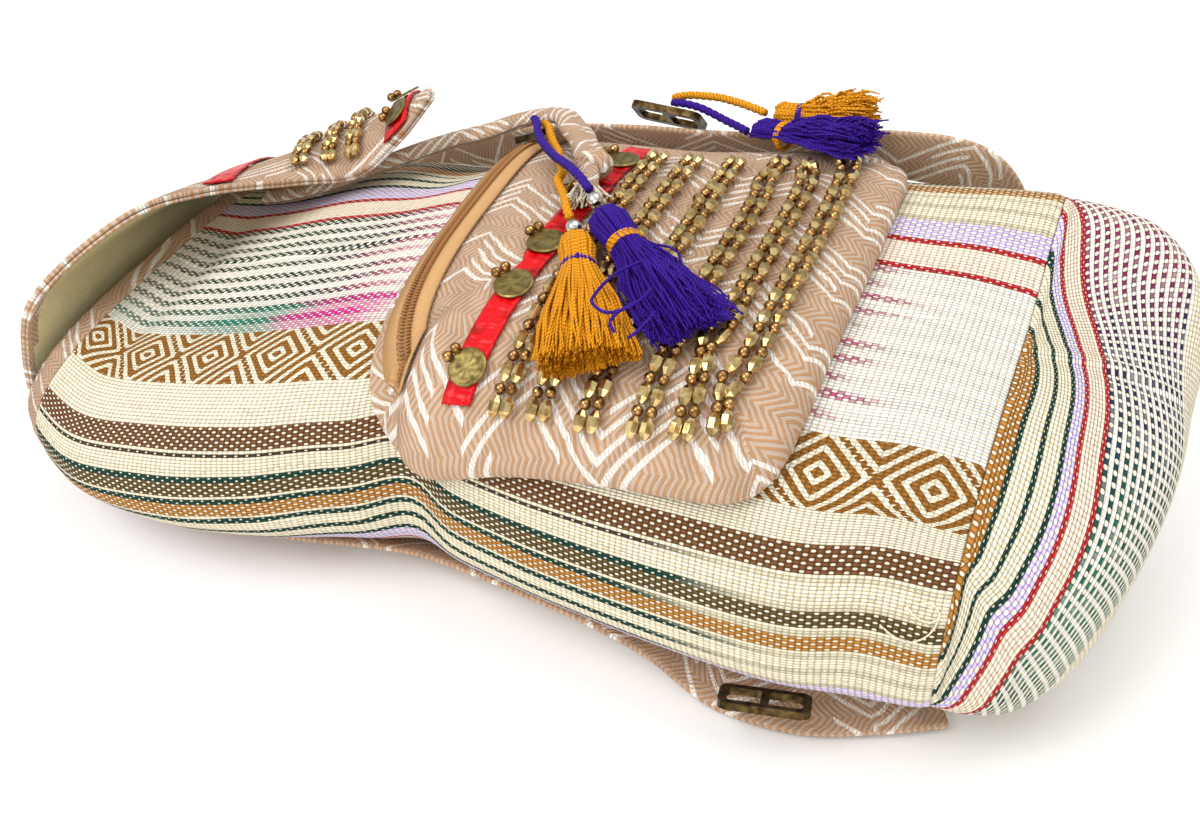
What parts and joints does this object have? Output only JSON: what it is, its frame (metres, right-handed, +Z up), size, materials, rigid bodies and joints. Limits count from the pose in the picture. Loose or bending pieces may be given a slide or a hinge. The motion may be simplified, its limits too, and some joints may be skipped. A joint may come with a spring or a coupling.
{
  "type": "woven backpack",
  "caption": "Striped hand-woven cotton backpack lying on its back, with a lined flap, beaded zip pocket, thread tassels, drawstring and shoulder straps.",
  "frame": {"origin": "on the floor, under the middle of the object's box measured without the cords and what hangs on them", "axes": "+X from the mouth to the base of the bag, +Y to the far side in the picture, +Z up"},
  "size_m": [0.4871, 0.2539, 0.1576],
  "materials": {
    "striped_cotton": "coarse plain-woven cotton with warp stripes, ikat dashes and a diamond band",
    "tan_jacquard": "cotton twill with white and peach chevrons",
    "khaki_lining": "plain thin cotton",
    "red_satin": "glossy satin ribbon",
    "aged_coin": "aged, dull",
    "gold_bead": "polished antique gold",
    "zip_tape": "woven tape with a nylon coil",
    "antique_brass": "dark antique",
    "purple_thread": "silky floss",
    "mustard_thread": "silky floss",
    "silver_bead": "bright silver"
  },
  "bodies": {
    "root": {"bag_body": "striped_cotton", "base_panel": "striped_cotton", "mouth_band": "tan_jacquard", "flap": "tan_jacquard", "pocket": "tan_jacquard", "near_strap": "tan_jacquard", "far_strap": "tan_jacquard", "drawstring": "tan_jacquard", "drawstring_knot": "tan_jacquard", "flap_lining": "khaki_lining", "flap_ribbon_1": "red_satin", "flap_ribbon_2": "red_satin", "pocket_ribbon": "red_satin", "flap_coin_1": "aged_coin", "flap_coin_2": "aged_coin", "pocket_coin_1": "aged_coin", "pocket_coin_2": "aged_coin", "pocket_coin_3": "aged_coin", "pocket_coin_4": "aged_coin", "pocket_coin_5": "aged_coin", "flap_bead_row_1": "gold_bead", "flap_bead_row_2": "gold_bead", "flap_bead_row_3": "gold_bead", "pocket_bead_row_1": "gold_bead", "pocket_bead_row_2": "gold_bead", "pocket_bead_row_3": "gold_bead", "pocket_bead_row_4": "gold_bead", "pocket_bead_row_5": "gold_bead", "pocket_bead_row_6": "gold_bead", "pocket_zip": "zip_tape", "zip_slider": "antique_brass", "near_strap_slider": "antique_brass", "far_strap_slider": "antique_brass", "zip_tassel_cord_purple": "purple_thread", "strap_tassel_cord_purple": "purple_thread", "zip_tassel_purple": "purple_thread", "strap_tassel_purple": "purple_thread", "zip_tassel_cord_mustard": "mustard_thread", "strap_tassel_cord_mustard": "mustard_thread", "zip_tassel_mustard": "mustard_thread", "strap_tassel_mustard": "mustard_thread", "zip_tassel_bead_1": "silver_bead", "zip_tassel_bead_2": "silver_bead"}
  },
  "joints": []
}
